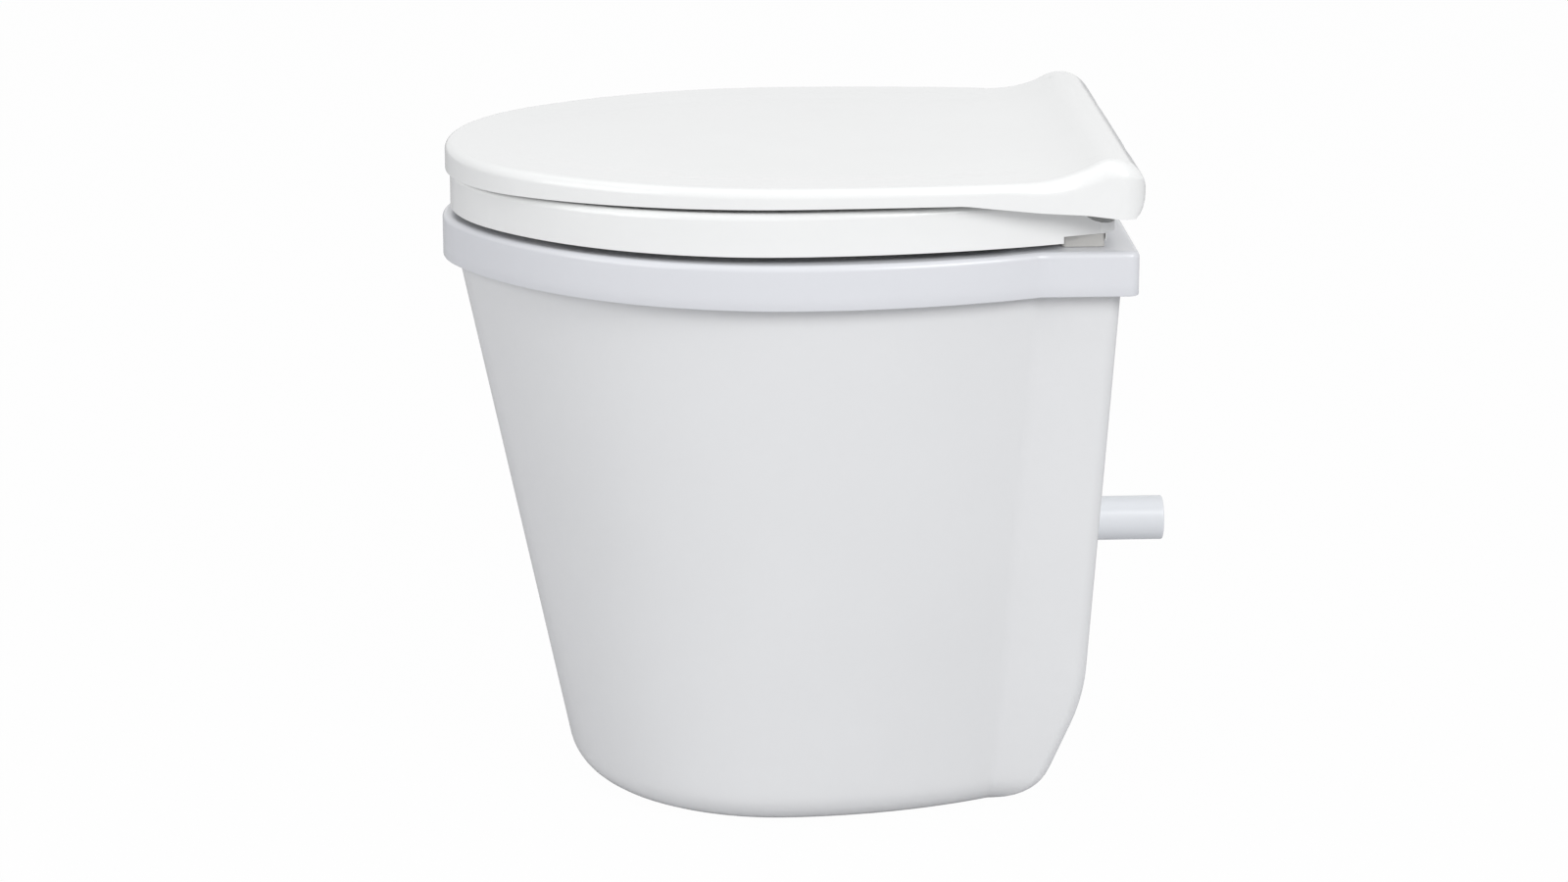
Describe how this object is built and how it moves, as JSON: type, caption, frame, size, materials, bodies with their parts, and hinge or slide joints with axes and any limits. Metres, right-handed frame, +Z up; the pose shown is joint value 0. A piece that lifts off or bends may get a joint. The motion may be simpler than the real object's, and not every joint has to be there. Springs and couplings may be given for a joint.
{
  "type": "waterless toilet",
  "caption": "Urine-diverting dry toilet: tapered casing, lift-off rim deck with divided bowl, hinged seat and lid, lift-out container and rear waste pipe.",
  "frame": {"origin": "on the floor, on the centreline, below the middle of the casing", "axes": "+Z up, +Y towards the rear, along the waste pipe, +X towards one side"},
  "size_m": [0.3752, 0.5175, 0.475],
  "materials": {
    "casing": "smooth gloss",
    "rim_deck": "smooth gloss",
    "seat": "smooth gloss",
    "seat_buffers": "matt",
    "lid": "smooth gloss",
    "lid_buffers": "matt",
    "outlet_pipe": "smooth gloss",
    "bowl_insert": "smooth gloss",
    "bowl_screws": "fine brushed",
    "strainer": "fine brushed",
    "rim_gasket": "matt",
    "hinge_posts": "smooth gloss",
    "hinge_pins": "fine brushed",
    "hinge_bolts": "fine brushed",
    "hinge_washers": "matt",
    "wing_nuts": "fine matt",
    "pin_caps": "smooth gloss",
    "drain_elbow": "fine matt",
    "coupling_seal": "matt",
    "drain_hose": "matt",
    "hose_clamps": "fine brushed",
    "hose_clips": "fine matt",
    "outlet_elbow": "fine matt",
    "pipe_locknut": "fine matt",
    "wall_seal": "matt",
    "container_tray": "fine matt",
    "container": "fine matt",
    "bail": "fine brushed",
    "bail_grip": "fine matt"
  },
  "bodies": {
    "base": {"casing": "casing", "container_tray": "container_tray", "outlet_pipe": "outlet_pipe", "outlet_elbow": "outlet_elbow", "pipe_locknut": "pipe_locknut", "wall_seal": "wall_seal", "drain_hose": "drain_hose", "hose_clamps": "hose_clamps", "hose_clips": "hose_clips", "drain_elbow": "drain_elbow", "coupling_seal": "coupling_seal", "rim_gasket": "rim_gasket"},
    "top": {"rim_deck": "rim_deck", "bowl_insert": "bowl_insert", "bowl_screws": "bowl_screws", "hinge_posts": "hinge_posts", "hinge_pins": "hinge_pins", "pin_caps": "pin_caps", "hinge_bolts": "hinge_bolts", "hinge_washers": "hinge_washers", "wing_nuts": "wing_nuts"},
    "strainer": {"strainer": "strainer"},
    "seat": {"seat": "seat", "seat_buffers": "seat_buffers"},
    "lid": {"lid": "lid", "lid_buffers": "lid_buffers"},
    "container": {"container": "container"},
    "bail": {"bail": "bail", "bail_grip": "bail_grip"}
  },
  "joints": [
    {"name": "top_lift", "type": "slide", "parent": "base", "child": "top", "axis": [0, 0, 1], "range_m": [0, 0.64]},
    {"name": "seat_hinge", "type": "hinge", "parent": "top", "child": "seat", "pos_m": [0, 0.2045, 0.4515], "axis": [-1, 0, 0], "range_deg": [0, 92]},
    {"name": "lid_hinge", "type": "hinge", "parent": "seat", "child": "lid", "pos_m": [0, 0.2045, 0.4515], "axis": [-1, 0, 0], "range_deg": [0, 98]},
    {"name": "strainer_lift", "type": "slide", "parent": "top", "child": "strainer", "axis": [0, 0, 1], "range_m": [0, 0.05]},
    {"name": "container_lift", "type": "slide", "parent": "base", "child": "container", "axis": [0, 0, 1], "range_m": [0, 0.4]},
    {"name": "bail_swing", "type": "hinge", "parent": "container", "child": "bail", "pos_m": [0, 0.014, 0.24], "axis": [1, 0, 0], "range_deg": [0, 90]}
  ],
  "couplings": [
    {"joint": "container_lift", "follows": "top_lift", "ratio": 0.625},
    {"joint": "bail_swing", "follows": "top_lift", "rad_per_m": 2.454}
  ]
}
